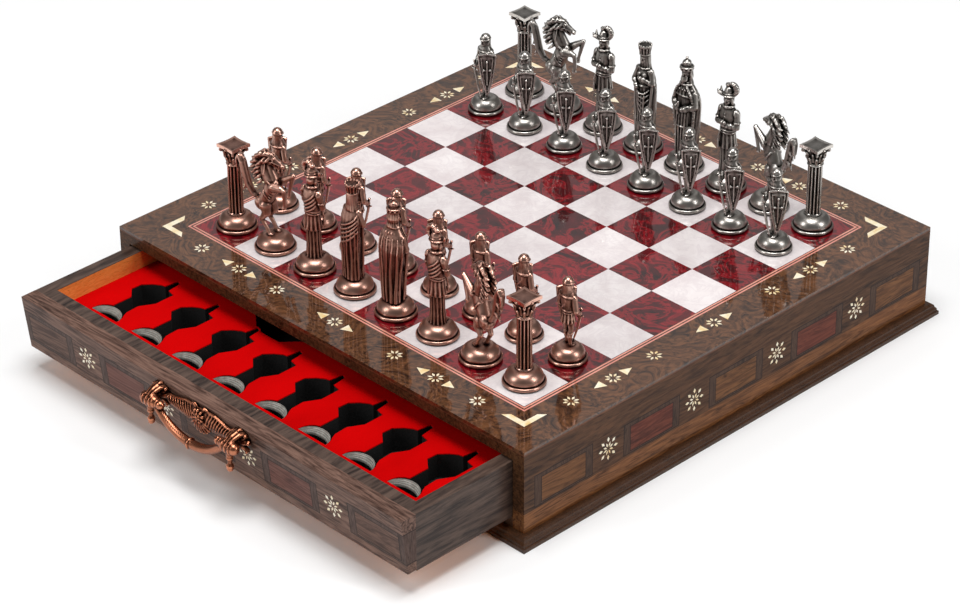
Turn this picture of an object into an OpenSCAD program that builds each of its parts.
// A chess board that is also a box: two drawers with shaped trays, and 32 cast metal pieces on the board.
// Frame: the origin is under the middle of the board, on the surface the box stands on.
// +Z is up, -Y is the front, where the drawer stands open, and +X is the right side.

/* [Board] */
// Side of one square of the board
square_side = 40; // [38:0.5:42]
// Width of the frame of veneer round the 64 squares
frame_w = 37.5; // [34:0.5:42]
// Thickness of the veneer sheet on the top
veneer_t = 2; // [1.5:0.1:2.5]

/* [Box] */
// Height of the whole box, board included
box_h = 70; // [68:0.5:74]
// Thickness of the side walls
wall_t = 10; // [9:0.5:12]
// Thickness of the board under the veneer
top_t = 8; // [7:0.5:9]
// Height at which the drawers slide
deck_z = 16.5; // [15:0.5:17]
// How far the foot moulding stands proud of the walls
plinth_out = 7; // [5:0.5:9]
// Height of the foot moulding
plinth_h = 8.6; // [7:0.2:10]

/* [Drawers] */
// How far the front drawer stands open
open_rest = 95; // [60:1:120]
// Thickness of the drawer front at its top edge
front_top_t = 12.5; // [11:0.5:14]
// Thickness of the drawer front at its bottom edge
front_low_t = 7.5; // [6.5:0.5:9]
// Thickness of the drawer's own walls
drawer_wall_t = 10; // [8:0.5:11]
// Height of the red tray face above the floor the box stands on
tray_z = 45.5; // [44:0.5:47]
// Height of the floors of the recesses
recess_z = 27; // [26:0.5:30]
// Distance between neighbouring recesses
recess_pitch = 41.8; // [40.5:0.2:42.2]

/* [Handles] */
// Distance between the two posts of a handle
post_gap = 78; // [70:1:86]
// How far the bail hangs below its pivots
bail_drop = 16; // [13:0.5:18]

/* [Chess pieces] */
// Radius of the base of a soldier
pawn_base_r = 13; // [12:0.5:13.5]
// Radius of the base of every other piece
court_base_r = 14.5; // [13.5:0.5:14.8]
// Height of a soldier
pawn_h = 63; // [58:0.5:66]
// Height of a rook
rook_h = 65; // [60:0.5:68]
// Height of a knight
knight_h = 75; // [70:0.5:76]
// Height of a bishop
bishop_h = 83; // [78:0.5:84]
// Height of a queen
queen_h = 84; // [79:0.5:86]
// Height of a king
king_h = 88; // [84:0.5:89]

/* [Hidden] */
wall_colour = [0.29, 0.23, 0.19];
veneer_colour = [0.27, 0.21, 0.18];
inlay_colour = [0.92, 0.85, 0.68];
line_colour = [0.80, 0.45, 0.36];
light_colour = [0.93, 0.91, 0.90];
dark_colour = [0.42, 0.05, 0.10];
raw_wood_colour = [0.78, 0.46, 0.20];
velvet_colour = [0.86, 0.02, 0.03];
foam_colour = [0.04, 0.04, 0.045];
bronze_colour = [0.55, 0.33, 0.19];
copper_colour = [0.48, 0.29, 0.24];
silver_colour = [0.45, 0.45, 0.46];
board_half = 4 * square_side;
box_half = board_half + frame_w;
joint = 0.02;          // hairline left at butted and mitred joints
board_z = box_h - veneer_t;
top_z = board_z - top_t;
bottom_t = 6;
bay_half = box_half - wall_t;
divider_t = 10;
drawer_half = bay_half - 1;
drawer_top_z = top_z - 1.3;
front_low_z = deck_z + 0.8;
drawer_back_y = divider_t / 2 + 2;
front_back_y = box_half - front_top_t;
tray_front_y = front_back_y - drawer_wall_t;
drawer_back_t = 8;
tray_back_y = drawer_back_y + drawer_back_t;
tray_half = drawer_half - drawer_wall_t - 0.5;
floor_low_z = deck_z + 1.5;
floor_t = 4;
velvet_t = 0.8;
// The handle's own plane: its middle on the drawer front, at the height of the pivots.
pivot_z = drawer_top_z - 9.2;
face_slope = (front_top_t - front_low_t) / (drawer_top_z - front_low_z);
face_y_at_pivot = box_half - face_slope * (drawer_top_z - pivot_z);
lean = atan(face_slope);
pivot_out = 12;
pin_r = 1.3;
pin_clear = 0.3;
files = ["a", "b", "c", "d", "e", "f", "g", "h"];
court = ["rook", "knight", "bishop", "queen", "king", "bishop", "knight", "rook"];
armies = ["copper", "silver"];
court_names = [for (army = armies) for (k = [0 : 7]) str(army, "_", court[k], "_", files[k])];
pawn_names = [for (army = armies) for (k = [0 : 7]) str(army, "_pawn_", files[k])];

// ---------- helpers ----------

// A closed skin over rings of n points. A section is
// [height, middle x, middle y, half width x, half width y, pleat]; a pleat draws every other point inwards.
module loft(sections, n = 10) {
    rings = len(sections);
    points = [for (s = sections) for (k = [0 : n - 1])
        let (a = 360 * k / n, fold = 1 - (k % 2) * (len(s) > 5 ? s[5] : 0))
        [s[1] + s[3] * fold * cos(a), s[2] + s[4] * fold * sin(a), s[0]]];
    low = [[for (k = [0 : n - 1]) k]];
    high = [[for (k = [n - 1 : -1 : 0]) (rings - 1) * n + k]];
    walls = [for (r = [0 : rings - 2]) for (k = [0 : n - 1]) for (half = [0, 1])
        let (a = r * n + k, b = r * n + (k + 1) % n)
        half == 0 ? [a, a + n, b + n] : [a, b + n, b]];
    polyhedron(points = points, faces = concat(low, high, walls));
}

// A tapering limb from one point to another.
module limb(from, to, r_from, r_to, n = 6) {
    d = to - from;
    translate(from)
        rotate([0, acos(d[2] / norm(d)), atan2(d[1], d[0])])
            cylinder(h = norm(d), r1 = r_from, r2 = r_to, $fn = n);
}

// Mirrors what is given to it, and keeps the original.
module both_sides() {
    children();
    mirror([1, 0, 0]) children();
}

// Repeats what is given to it on the four sides of the board.
module four_sides() {
    for (turn = [0 : 3]) rotate([0, 0, 90 * turn]) children();
}

// One pointed petal of a star, from r_in to r_out along +X.
module petal(r_in, r_out, half_w) {
    middle = (r_in + r_out) / 2;
    polygon([[r_in, 0], [middle, -half_w], [r_out, 0], [middle, half_w]]);
}

// ---------- marquetry ----------

star_r = 5.8;
arrow_star_y = 0.486 * box_half;
plain_star_gap = 0.195 * box_half;
tile_middle = (board_half + box_half) / 2 - 2.2;

module top_star() {
    for (k = [0 : 7]) rotate(22.5 + 45 * k) petal(1.7, star_r, 0.95);
}

module arrow_head() {
    polygon([[9.2, -3.9], [9.2, 3.9], [17.5, 0]]);
}

module corner_chevron() {
    arm = 20.5;
    thick = 4.4;
    translate([tile_middle, tile_middle])
        polygon([[0, 0], [-arm, 0], [-arm + thick, -thick], [-thick, -thick], [-thick, -arm + thick],
            [0, -arm]]);
}

// The cream pieces of one side of the frame, drawn on the side that faces +X.
module side_pattern() {
    for (k = [-1 : 1]) translate([tile_middle, k * arrow_star_y]) {
        top_star();
        rotate(90) arrow_head();
        rotate(-90) arrow_head();
        for (turn = [-1, 1])
            if (k != 0) translate([0, turn * plain_star_gap]) top_star();
    }
    corner_chevron();
}

module frame_pattern(low, high) {
    translate([0, 0, low]) linear_extrude(high - low) four_sides() side_pattern();
}

// The larger star on the walls and drawer fronts, drawn flat.
wall_star_r = 8.8;
module wall_star() {
    for (k = [0 : 7]) rotate(45 * k) petal(4.9, wall_star_r, 1.15);
    for (k = [0 : 7]) rotate(22.5 + 45 * k) petal(1.1, 4.9, 0.75);
}

wall_star_step = box_half * 0.41;
wall_star_z = (deck_z + top_z) / 2 - 0.6;
wall_inlay_t = 1;

module wall_stars(outer_x, depth) {
    for (k = [-1.5 : 1 : 1.5])
        translate([outer_x - depth, k * wall_star_step, wall_star_z])
            rotate([90, 0, 90]) linear_extrude(depth) wall_star();
}

// ---------- box ----------

module top_panel() {
    color(wall_colour)
        translate([-box_half, -box_half, top_z]) cube([2 * box_half, 2 * box_half, top_t]);
}

strip_w = 1.2;
strip_start = board_half + 0.6;
strip_step = 2.3;

module square_ring(inner, width) {
    difference() {
        square(2 * (inner + width), center = true);
        square(2 * inner, center = true);
    }
}

module marquetry_veneer() {
    color(veneer_colour) {
        difference() {
            translate([0, 0, board_z]) linear_extrude(veneer_t) square_ring(board_half, frame_w);
            frame_pattern(board_z - 1, box_h + 1);
            for (k = [0, 1])
                translate([0, 0, board_z - 1])
                    linear_extrude(veneer_t + 2) square_ring(strip_start + k * strip_step, strip_w);
        }
    }
}

module star_inlays() {
    color(inlay_colour) {
        frame_pattern(board_z, box_h);
        both_sides() wall_stars(box_half, wall_inlay_t);
    }
}

module border_strips() {
    color(line_colour)
        for (k = [0, 1])
            translate([0, 0, board_z])
                linear_extrude(veneer_t) square_ring(strip_start + k * strip_step, strip_w);
}

module squares(dark) {
    for (i = [0 : 7])
        for (j = [0 : 7])
            if ((i + j) % 2 == dark)
                translate([(i - 4) * square_side + joint, (j - 4) * square_side + joint, board_z])
                    cube([square_side - 2 * joint, square_side - 2 * joint, veneer_t]);
}

module light_squares() {
    color(light_colour) squares(1);
}

module dark_squares() {
    color(dark_colour) squares(0);
}

module side_wall() {
    color(wall_colour)
        difference() {
            translate([bay_half, -box_half, 0]) cube([wall_t, 2 * box_half, top_z]);
            wall_stars(box_half + 1, wall_inlay_t + 1);
        }
}

module centre_divider() {
    color(raw_wood_colour)
        translate([-bay_half, -divider_t / 2, deck_z]) cube([2 * bay_half, divider_t, top_z - deck_z]);
}

module drawer_deck() {
    color(wall_colour)
        translate([-bay_half, -box_half, bottom_t]) cube([2 * bay_half, 2 * box_half, deck_z - bottom_t]);
}

module bottom_panel() {
    color(wall_colour)
        translate([-bay_half, -box_half, 0]) cube([2 * bay_half, 2 * box_half, bottom_t]);
}

// Section of the foot moulding: a bead, a hollow and a step, out from the wall and up from the floor.
module plinth_section() {
    hollow_r = plinth_out * 0.42;
    difference() {
        polygon([[0, 0], [plinth_out, 0], [plinth_out, plinth_h * 0.3],
            [plinth_out - 1, plinth_h * 0.36], [plinth_out - 1, plinth_h * 0.5],
            [plinth_out * 0.62, plinth_h * 0.86], [plinth_out * 0.4, plinth_h], [0, plinth_h]]);
        translate([plinth_out + 0.4, plinth_h * 0.86]) circle(r = hollow_r, $fn = 48);
    }
}

// Four lengths of moulding, mitred at the corners.
module plinth_mouldings() {
    reach = box_half + plinth_out;
    color(wall_colour)
        four_sides()
            difference() {
                translate([box_half, reach, 0]) rotate([90, 0, 0])
                    linear_extrude(2 * reach) plinth_section();
                for (end = [0, 1])
                    mirror([0, end, 0]) rotate([0, 0, 45])
                        translate([0, -joint, -1]) cube([3 * reach, 3 * reach, plinth_h + 2]);
            }
}

// ---------- drawers, drawn closed at the front ----------

module drawer_face() {
    color(wall_colour)
        difference() {
            translate([-drawer_half, 0, 0]) rotate([90, 0, 90]) linear_extrude(2 * drawer_half)
                polygon([[-box_half, drawer_top_z], [-box_half + front_top_t - front_low_t, front_low_z],
                    [-front_back_y, front_low_z], [-front_back_y, drawer_top_z]]);
            drawer_star_tiles(1);
        }
}

// The stars lie in the leaning face, so they lean with it.
module drawer_star_tiles(proud) {
    face_y = -box_half + face_slope * (drawer_top_z - wall_star_z);
    for (k = [-1.5 : 1 : 1.5])
        translate([k * wall_star_step, face_y, wall_star_z])
            rotate([90 + lean, 0, 0]) translate([0, 0, -wall_inlay_t])
                linear_extrude(wall_inlay_t + proud) wall_star();
}

module drawer_stars() {
    color(inlay_colour) drawer_star_tiles(0);
}

module drawer_walls() {
    tall = drawer_top_z - deck_z;
    color(raw_wood_colour) {
        translate([-drawer_half, -front_back_y, deck_z]) cube([2 * drawer_half, drawer_wall_t, tall]);
        translate([-drawer_half, -tray_back_y, deck_z]) cube([2 * drawer_half, drawer_back_t, tall]);
        both_sides()
            translate([tray_half, -tray_front_y + joint, deck_z])
                cube([drawer_half - tray_half, tray_front_y - tray_back_y - 2 * joint, tall]);
    }
}

module drawer_floor() {
    color(raw_wood_colour)
        translate([-tray_half, -tray_front_y, floor_low_z])
            cube([2 * tray_half, tray_front_y - tray_back_y, floor_t]);
}

recess_play = 0.6;

// Outline of a piece's base lying on its side, its foot on y = 0 and its dome towards +Y.
module base_outline(r) {
    reach = r + recess_play;
    polygon([for (a = [0 : 7.5 : 180]) [reach * cos(a), (foot_z + recess_play) * sin(a)]]);
}

// Outlines of the pieces lying down, heads towards +Y.
module pawn_outline() {
    base_outline(pawn_base_r);
    polygon([[-4, 8], [-4, 20], [-13, 34], [-1.5, 55], [3, 55], [17, 37], [9, 27], [4, 20], [4, 8]]);
    rotate(-4) translate([0.8, 45]) square([5, pawn_h - 44]);
}

module rook_outline() {
    base_outline(court_base_r);
    translate([-6.2, 8]) square([12.4, rook_h - 7]);
    translate([-9, rook_h - 9]) square([18, 10]);
}

// The tail lies towards -X and the raised foreleg towards +X.
module knight_outline() {
    base_outline(court_base_r);
    polygon([[-7, 8], [-15, 22], [-25, 28], [-30, 40], [-30, 66], [-25, 71], [-19, 71], [-8, knight_h + 1],
        [6, knight_h + 1], [9, 68], [10, 62], [18, 62], [18, 40], [10, 36], [7, 26], [7, 8]]);
}

module robed_outline(height) {
    base_outline(court_base_r);
    polygon([[-7.5, 8], [-8, 44], [-10.5, 60], [-5.5, 70], [-6, height + 1], [6, height + 1], [5.5, 70],
        [10.5, 60], [8, 44], [7.5, 8]]);
}

pawn_foot_y = 15;
court_row = 2 * (court_base_r + recess_play) + 3.8;
court_lengths = [king_h + 1, bishop_h + 1, knight_h + 1, rook_h + 1];
court_gap = (2 * tray_half - court_lengths[0] - court_lengths[1] - court_lengths[2] - court_lengths[3]) / 5;

knight_y = -tray_back_y - 32;
knight_step = 25;

function court_start(k) =
    k == 0 ? -tray_half + court_gap : court_start(k - 1) + court_lengths[k - 1] + court_gap;

// Two rows lie crosswise behind the soldiers. The king and the queen share one double recess, and the
// knights lie head to foot with their tails outwards, in recesses that run together.
module court_outlines() {
    first_y = -tray_back_y - court_row / 2 - 2;
    for (row = [0, 1])
        translate([0, first_y - row * court_row]) {
            translate([court_start(0), 0]) rotate(-90) robed_outline(row == 0 ? queen_h : king_h);
            translate([court_start(1), 0]) rotate(-90) robed_outline(bishop_h);
            translate([court_start(3), 0]) rotate(-90) rook_outline();
        }
    translate([court_start(0), first_y - court_row]) square([64, court_row]);
    translate([court_start(2), knight_y]) rotate(-90) knight_outline();
    translate([court_start(2) + knight_h + 1, knight_y - knight_step]) rotate(90) knight_outline();
}

module recess_outlines() {
    for (k = [0 : 7])
        translate([(k - 3.5) * recess_pitch, -tray_front_y + pawn_foot_y]) pawn_outline();
    court_outlines();
}

module tray_block(low, high) {
    translate([-tray_half, -tray_front_y, low])
        cube([2 * tray_half, tray_front_y - tray_back_y, high - low]);
}

module drawer_foam() {
    color(foam_colour)
        difference() {
            tray_block(floor_low_z + floor_t, tray_z - velvet_t);
            translate([0, 0, recess_z]) linear_extrude(tray_z) recess_outlines();
        }
}

module drawer_velvet() {
    color(velvet_colour)
        difference() {
            tray_block(tray_z - velvet_t, tray_z);
            translate([0, 0, recess_z]) linear_extrude(tray_z) recess_outlines();
        }
}

// ---------- handles ----------

boss_r = 4.6;
boss_w = 9;
bail_half = post_gap / 2 - boss_w / 2;
bail_arc_r = (bail_half * bail_half + bail_drop * bail_drop) / (2 * bail_drop);
bail_arc_a = asin(bail_half / bail_arc_r);

// A post: a leafy plate on the wood, a boss with the pivot hole in it, and a turned drop below.
module handle_post() {
    translate([post_gap / 2, 0, 0]) {
        rotate([90, 0, 0]) cylinder(h = 3, r = 7.2, $fn = 8);
        for (k = [0 : 3]) rotate([0, -75 + 50 * k, 0]) translate([0, -2.2, 6.6]) sphere(r = 2.3, $fn = 24);
        rotate([90, 0, 0]) cylinder(h = pivot_out, r = 3.4, $fn = 32);
        translate([-boss_w / 2, -pivot_out, 0]) rotate([0, 90, 0])
            cylinder(h = boss_w, r = boss_r, $fn = 32);
        translate([boss_w / 2, -pivot_out, 0]) sphere(r = 3.2, $fn = 24);
        translate([0.4, -pivot_out, -18])
            rotate_extrude($fn = 28)
                polygon([[0, 0], [1.4, 0.5], [2.6, 1.9], [2.7, 3.2], [1.9, 4.6], [1.6, 6], [2.3, 10],
                    [2.9, 15], [0, 15]]);
    }
}

// The fixed crest between the posts: a shell with cut flutes, a small flower, and a rail along the wood.
shell_r = 11.5;
module handle_crest() {
    difference() {
        rotate([90, 0, 0]) linear_extrude(4) shell_outline();
        for (k = [-3 : 3])
            rotate([0, 20 * k, 0]) translate([0, -4.6, -shell_r - 1])
                cylinder(h = shell_r - 4, r = 1.2, $fn = 20);
    }
    rotate([90, 0, 0]) cylinder(h = 4.6, r = 4.2, $fn = 40);
    for (k = [0 : 4])
        rotate([0, 72 * k + 10, 0]) translate([0, -4.2, 3.7]) sphere(r = 1.6, $fn = 20);
    translate([-post_gap / 2, -1.2, 1.2]) rotate([0, 90, 0]) cylinder(h = post_gap, r = 1.9, $fn = 20);
}

module shell_outline() {
    polygon([for (k = [-8 : 8])
            let (a = 9 * k - 90, r = shell_r - (k % 2 == 0 ? 0 : 0.8)) [r * cos(a), r * sin(a)],
        [6, 4.5], [0, 6.5], [-6, 4.5]]);
}

// The handle's frame: x across, -Y out of the wood, z = 0 at the pivots.
module handle_place() {
    translate([0, -face_y_at_pivot, pivot_z]) children();
}

module handle_mount() {
    color(bronze_colour)
        difference() {
            handle_place() {
                both_sides() handle_post();
                handle_crest();
            }
            // what would reach into the leaning wood is cut away, so the mount seats on it
            drawer_front_wedge();
            handle_place()
                both_sides()
                    translate([post_gap / 2 - boss_w, -pivot_out, 0]) rotate([0, 90, 0])
                        cylinder(h = boss_w + 2, r = pin_r + pin_clear, $fn = 32);
        }
}

module drawer_front_wedge() {
    translate([-drawer_half, 0, 0]) rotate([90, 0, 90]) linear_extrude(2 * drawer_half)
        polygon([[-box_half, drawer_top_z], [-box_half + front_top_t - front_low_t, front_low_z],
            [-front_back_y + 20, front_low_z], [-front_back_y + 20, drawer_top_z]]);
}

// A bow swept along the bail's arc: it swells towards the middle, in steps like lapping leaves.
bow_rings = 17;
bow_points = 8;
module bow() {
    points = [for (i = [0 : bow_rings - 1]) for (k = [0 : bow_points - 1])
        let (along = 2 * i / (bow_rings - 1) - 1, turn = along * bail_arc_a * 0.93, a = 360 * k / bow_points,
            thick = 2 + 1.1 * (1 - along * along) - (i % 2) * 0.5, out = bail_arc_r + thick * cos(a))
        [out * sin(turn), thick * sin(a), bail_arc_r - bail_drop - out * cos(turn)]];
    last = (bow_rings - 1) * bow_points;
    ends = [[for (k = [0 : bow_points - 1]) k], [for (k = [bow_points - 1 : -1 : 0]) last + k]];
    skin = [for (i = [0 : bow_rings - 2]) for (k = [0 : bow_points - 1]) for (half = [0, 1])
        let (p = i * bow_points + k, q = i * bow_points + (k + 1) % bow_points)
        half == 0 ? [p, p + bow_points, q + bow_points] : [p, q + bow_points, q]];
    polyhedron(points = points, faces = concat(ends, skin));
}

// The swinging bail: the bow, and at each end a barrel with a pin that turns in the post.
module handle_bail() {
    color(bronze_colour)
        handle_place() translate([0, -pivot_out, 0]) {
            bow();
            both_sides() {
                translate([bail_half - 6, 0, 0]) rotate([0, 90, 0])
                    cylinder(h = 6, r = 3.2, $fn = 32);
                translate([bail_half - 1, 0, 0]) rotate([0, 90, 0])
                    cylinder(h = boss_w - 1.5, r = pin_r, $fn = 32);
            }
        }
}

// ---------- chess pieces, each standing on z = 0 and facing +Y ----------

foot_z = 11.3;

// The turned base: a rim, a groove and a dome.
module piece_base(r) {
    rim_h = 3.8;
    dome_top_r = r * 0.56;
    dome_low_r = r - 1.5;
    dome = [for (k = [0 : 6]) let (a = 15 * k)
        [dome_top_r + (dome_low_r - dome_top_r) * cos(a), rim_h + 0.4 + (foot_z - rim_h - 0.4) * sin(a)]];
    rotate_extrude($fn = 64)
        polygon(concat([[0, 0], [r - 0.8, 0], [r, 0.9], [r, 2.6], [r - 0.7, rim_h - 0.2], [r - 1.9, rim_h]],
            dome, [[0, foot_z]]));
}

// Stands a figure on its base and brings it to its height.
module cast_figure(height, base_r) {
    piece_base(base_r);
    rise = height - foot_z + 0.6;
    translate([0, 0, foot_z - 0.6]) resize([0, 0, rise]) children();
}

// The figures below start at z = 0, which is just inside the top of the base.

module pawn_figure() {
    loft([[0, 0.3, 0.6, 3.4, 3], [7, 0.2, 0, 2.3, 2.1], [22, 0, -0.6, 3.6, 2.9], [31, 0, -0.4, 5.2, 3.3],
        [37, 0, -0.4, 6.2, 3], [40, 0, 0, 1.9, 1.9], [41.6, 0, 0.6, 2.4, 2.6], [44.6, 0, 0.2, 3.6, 3.7],
        [48, 0, 0, 3.1, 3.2], [50.6, 0, 0, 1.6, 1.7], [52.3, 0, 0, 0.5, 0.5]], 7);
    // sword arm and sword
    limb([5.6, -0.4, 36], [7.6, -1.2, 29], 2, 1.6, 4);
    limb([7.6, -1.2, 29], [6.6, 3.4, 24.5], 1.6, 1.2, 4);
    limb([6.9, 3.6, 27.5], [0.8, 4.6, 0.6], 1, 0.9, 3);
    // shield arm and kite shield, with a rib down its middle
    limb([-5.6, -0.4, 36], [-6.2, 3.4, 28], 2, 1.5, 4);
    translate([-3.2, 5.4, 22]) rotate([90, 0, 200]) {
        linear_extrude(1.2) shield_outline();
        translate([-0.6, -11, 0]) cube([1.2, 22, 2]);
    }
}

module shield_outline() {
    polygon([[-6.4, 12], [-6.2, 2], [-3.6, -8], [0, -15.5], [3.6, -8], [6.2, 2], [6.4, 12], [0, 14.5]]);
}

// A long pleated robe, the same cut for the bishop, the queen and the king.
module robe(wide, deep, top) {
    loft([[0, 0, 0, wide * 1.08, deep * 1.1, 0.16], [8, 0, 0, wide, deep, 0.16],
        [top * 0.5, 0, -0.2, wide * 0.86, deep * 0.84, 0.14],
        [top * 0.76, 0, -0.2, wide * 0.8, deep * 0.74, 0.08],
        [top * 0.93, 0, -0.2, wide * 1.16, deep * 0.84, 0.06],
        [top, 0, -0.2, wide * 0.98, deep * 0.7, 0], [top + 4.4, 0, 0, 2.2, 2.1, 0]], 10);
}

module head(z) {
    loft([[z - 6.4, 0, 0.2, 1.7, 1.7], [z - 2.4, 0, 0.6, 2.6, 2.7], [z + 0.6, 0, 0.3, 3.1, 3.3],
        [z + 2.6, 0, 0, 2.7, 2.9]], 7);
}

module folded_arms(z, wide) {
    both_sides() {
        limb([wide * 0.92, -0.3, z + 7], [wide + 1.6, 0.6, z], 2.3, 2, 5);
        limb([wide + 1.6, 0.6, z], [0.4, 4.6, z + 1.6], 2, 1.4, 5);
    }
}

module bishop_figure() {
    robe(6.2, 5.4, 52);
    folded_arms(45, 5.4);
    loft([[38.5, 0, -0.2, 5.6, 4.7], [40.6, 0, -0.2, 5.6, 4.7]], 8);
    head(61);
    // tall hat with a crescent plume across it
    loft([[63, 0, 0, 3.7, 3.7], [66, 0, 0, 3.2, 3.2], [69, 0, 0, 2.2, 2.4]], 8);
    both_sides() {
        limb([1.5, 0, 66], [6.2, 0.6, 66.5], 1.5, 1.5, 5);
        limb([6.2, 0.6, 66.5], [7.4, 0.8, 70.5], 1.5, 0.9, 5);
    }
    loft([[64, 0, -1.6, 1.5, 2.6], [69, 0, -1.8, 1.9, 4], [73, 0, -1, 0.7, 1.4]], 7);
}

module queen_figure() {
    robe(5.9, 5.2, 53);
    folded_arms(46, 5.6);
    // cloak down the back and the sides
    loft([[1, 0, -2.6, 7.6, 4.4, 0.1], [20, 0, -2.6, 7.4, 4.2, 0.1], [44, 0, -2, 8.2, 3.9, 0.06],
        [51, 0, -1.2, 7.2, 3.3, 0], [55, 0, -0.6, 3.4, 2.6, 0]], 10);
    head(62);
    loft([[59, 0, -1.6, 3.2, 2.6], [64, 0, -1, 3.5, 3.2]], 8);
    // flat crown
    loft([[64, 0, 0, 3.3, 3.3], [71.5, 0, 0, 4.1, 4.1], [73.4, 0, 0, 3.9, 3.9]], 12);
}

module king_figure() {
    robe(5.8, 5.4, 53);
    // the heavy cloak ends above the knees in front and trails behind
    loft([[24, 0, -0.8, 7.4, 6, 0.1], [30, 0, -0.8, 8.2, 6.6, 0.1], [44, 0, -0.6, 9.4, 6.2, 0.08],
        [51, 0, -0.4, 8.2, 4.6, 0.04], [57, 0, -0.2, 4.4, 3.4, 0]], 12);
    loft([[2, 0, -3.4, 6.6, 3.8, 0.1], [30, 0, -3.2, 7.4, 4.4, 0.1]], 10);
    folded_arms(42, 6.4);
    head(62);
    loft([[55, 0, 2.6, 0.8, 0.8], [59.6, 0, 2.4, 2.4, 1.4]], 6);
    // crown of two tiers with a knob
    loft([[64, 0, 0, 3.2, 3.2], [67.4, 0, 0, 4.3, 4.3], [68.8, 0, 0, 4.2, 4.2], [70, 0, 0, 2.8, 2.8],
        [72.4, 0, 0, 3, 3], [74, 0, 0, 1.4, 1.4], [75.2, 0, 0, 1.3, 1.3], [77.3, 0, 0, 1.1, 1.1]], 10);
}

// A chain of tapering limbs through the points of a path.
module limbs(path, radii, n = 6) {
    for (i = [0 : len(path) - 2]) limb(path[i], path[i + 1], radii[i], radii[i + 1], n);
}

// A rearing horse: hind legs on the base, forelegs in the air, a heavy mane and a tail that curls up behind.
module knight_figure() {
    limbs([[3.1, -1.8, 0.2], [3.3, -6.7, 10.6], [2.9, -3.3, 21.7]], [1.7, 1.7, 4.1], 5);
    limbs([[-3, -1.2, 0.2], [-3.2, -6.1, 10.1], [-2.4, -3.9, 21.2]], [1.7, 1.8, 4.3], 5);
    loft([[14, 0.2, -6.6, 2.8, 2.8], [19, 0.2, -7, 5.4, 5.6], [25, 0.2, -4.8, 5.8, 6.2],
        [32, 0.2, -1.2, 5.4, 6], [38, 0.2, 1, 5.2, 5.6], [44, 0.2, 0, 3.8, 5], [52, 0.2, -4, 2.7, 4.4],
        [59, 0.2, -5.6, 2, 3.4], [62, 0.2, -5, 1.2, 1.8]], 8);
    limbs([[-0.1, -5.6, 60], [0, 1.6, 57.6], [0.1, 6.8, 53.6]], [3.3, 2.8, 1.9], 6);
    limb([1.5, -6, 61], [2, -6.6, 65.3], 1, 0.3, 3);
    limb([-1.3, -6.2, 61], [-1.8, -6.9, 65.1], 1, 0.3, 3);
    // mane: locks that stand off the back of the neck
    for (k = [0 : 3])
        limb([0.4 - 0.3 * k, -7 - 0.6 * k, 60 - 4.6 * k],
            [0.3 * k - 0.5, -16.6 + 0.5 * k, 57 - 5.4 * k], 3, 1.5, 4);
    // forelegs: one folded high, one reaching down
    limbs([[-3.4, 3, 37], [-3.6, 13.4, 47], [-3.4, 12.6, 32]], [2.8, 1.6, 1.5], 5);
    limbs([[3.4, 3, 35], [3.8, 11, 36], [3.4, 10.4, 26.6]], [2.8, 1.6, 1.5], 5);
    // tail
    limbs([[-0.3, -9, 24], [-0.2, -17, 21.6], [0.1, -23, 32], [0.2, -25.4, 51], [0, -22, 56.6]],
        [2.2, 2.6, 3, 2.8, 1.4], 5);
}

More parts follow.
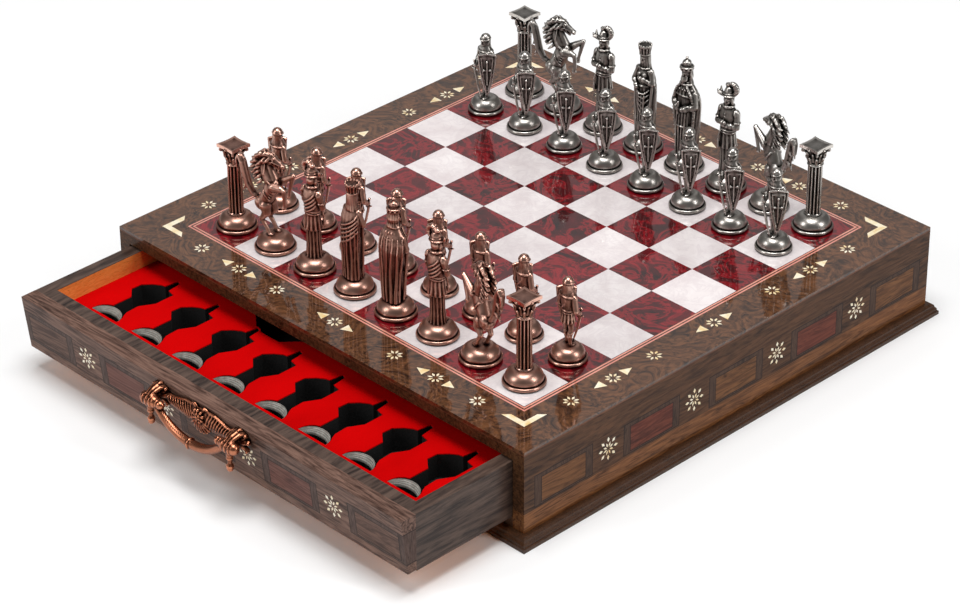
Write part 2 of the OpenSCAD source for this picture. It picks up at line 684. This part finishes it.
// The rook is turned and fluted: a column on the base, a leafy capital and a dished square top.
module rook_piece() {
    shaft_r = 5.2;
    neck_z = rook_h - 15;
    flutes = 12;
    piece_base(court_base_r);
    difference() {
        translate([0, 0, foot_z - 0.5]) cylinder(h = neck_z - foot_z + 0.5, r = shaft_r, $fn = 48);
        for (k = [0 : flutes - 1])
            rotate([0, 0, 360 / flutes * k])
                translate([shaft_r + 0.35, 0, foot_z + 1])
                    cylinder(h = neck_z - foot_z - 1.6, r = 0.95, $fn = 20);
    }
    translate([0, 0, neck_z])
        rotate_extrude($fn = 48)
            polygon([[0, -0.5], [5.9, -0.5], [6.1, 0.4], [5.6, 1.2], [4.9, 1.6], [5, 4], [5.6, 7],
                [6.8, 9.6], [7.2, 11], [0, 11]]);
    for (k = [0 : 7])
        rotate([0, 0, 45 * k]) translate([5, 0, neck_z + 4.2]) sphere(r = 1.6, $fn = 20);
    for (k = [0 : 3])
        rotate([0, 0, 45 + 90 * k]) translate([7.4, 0, neck_z + 9.6]) sphere(r = 1.9, $fn = 20);
    difference() {
        translate([-7.4, -7.4, rook_h - 4]) cube([14.8, 14.8, 4]);
        translate([0, 0, rook_h + 26.6]) sphere(r = 27.6, $fn = 96);
    }
}

module court_piece(kind) {
    if (kind == "rook") rook_piece();
    if (kind == "knight") cast_figure(knight_h, court_base_r) knight_figure();
    if (kind == "bishop") cast_figure(bishop_h, court_base_r) bishop_figure();
    if (kind == "queen") cast_figure(queen_h, court_base_r) queen_figure();
    if (kind == "king") cast_figure(king_h, court_base_r) king_figure();
}

// Puts a piece on its square; the silver army is turned to face the copper one.
module on_square(army, file, rank) {
    rotate([0, 0, army == 0 ? 0 : 180])
        translate([(army == 0 ? file - 3.5 : 3.5 - file) * square_side, -rank * square_side, box_h])
            children();
}

// The knights are set to face each other along their rank; all other pieces face the other army.
function facing(army, file, kind) =
    kind != "knight" ? 0 : (file < 4 ? -1 : 1) * (army == 0 ? 75 : -105);

module chess_piece(army, file, kind) {
    color(army == 0 ? copper_colour : silver_colour)
        on_square(army, file, kind == "pawn" ? 2.5 : 3.5)
            rotate([0, 0, facing(army, file, kind)])
                if (kind == "pawn") cast_figure(pawn_h, pawn_base_r) pawn_figure();
                else court_piece(kind);
}

// ---------- one line for each node ----------

top_panel();
marquetry_veneer();
star_inlays();
border_strips();
light_squares();
dark_squares();
mirror([1, 0, 0]) side_wall();  // left_side_wall
side_wall();  // right_side_wall
centre_divider();
drawer_deck();
bottom_panel();
plinth_mouldings();

module drawer_place(side) {
    rotate([0, 0, side == "front" ? 0 : 180])
        translate([0, side == "front" ? -open_rest : 0, 0]) children();
}

for (side = ["front", "back"]) {
    drawer_place(side) drawer_face();
    drawer_place(side) drawer_stars();
    drawer_place(side) drawer_walls();
    drawer_place(side) drawer_floor();
    drawer_place(side) drawer_foam();
    drawer_place(side) drawer_velvet();
    drawer_place(side) handle_mount();
    drawer_place(side) handle_bail();
}

for (army = [0, 1])
    for (file = [0 : 7]) {
        chess_piece(army, file, court[file]);
        chess_piece(army, file, "pawn");
    }
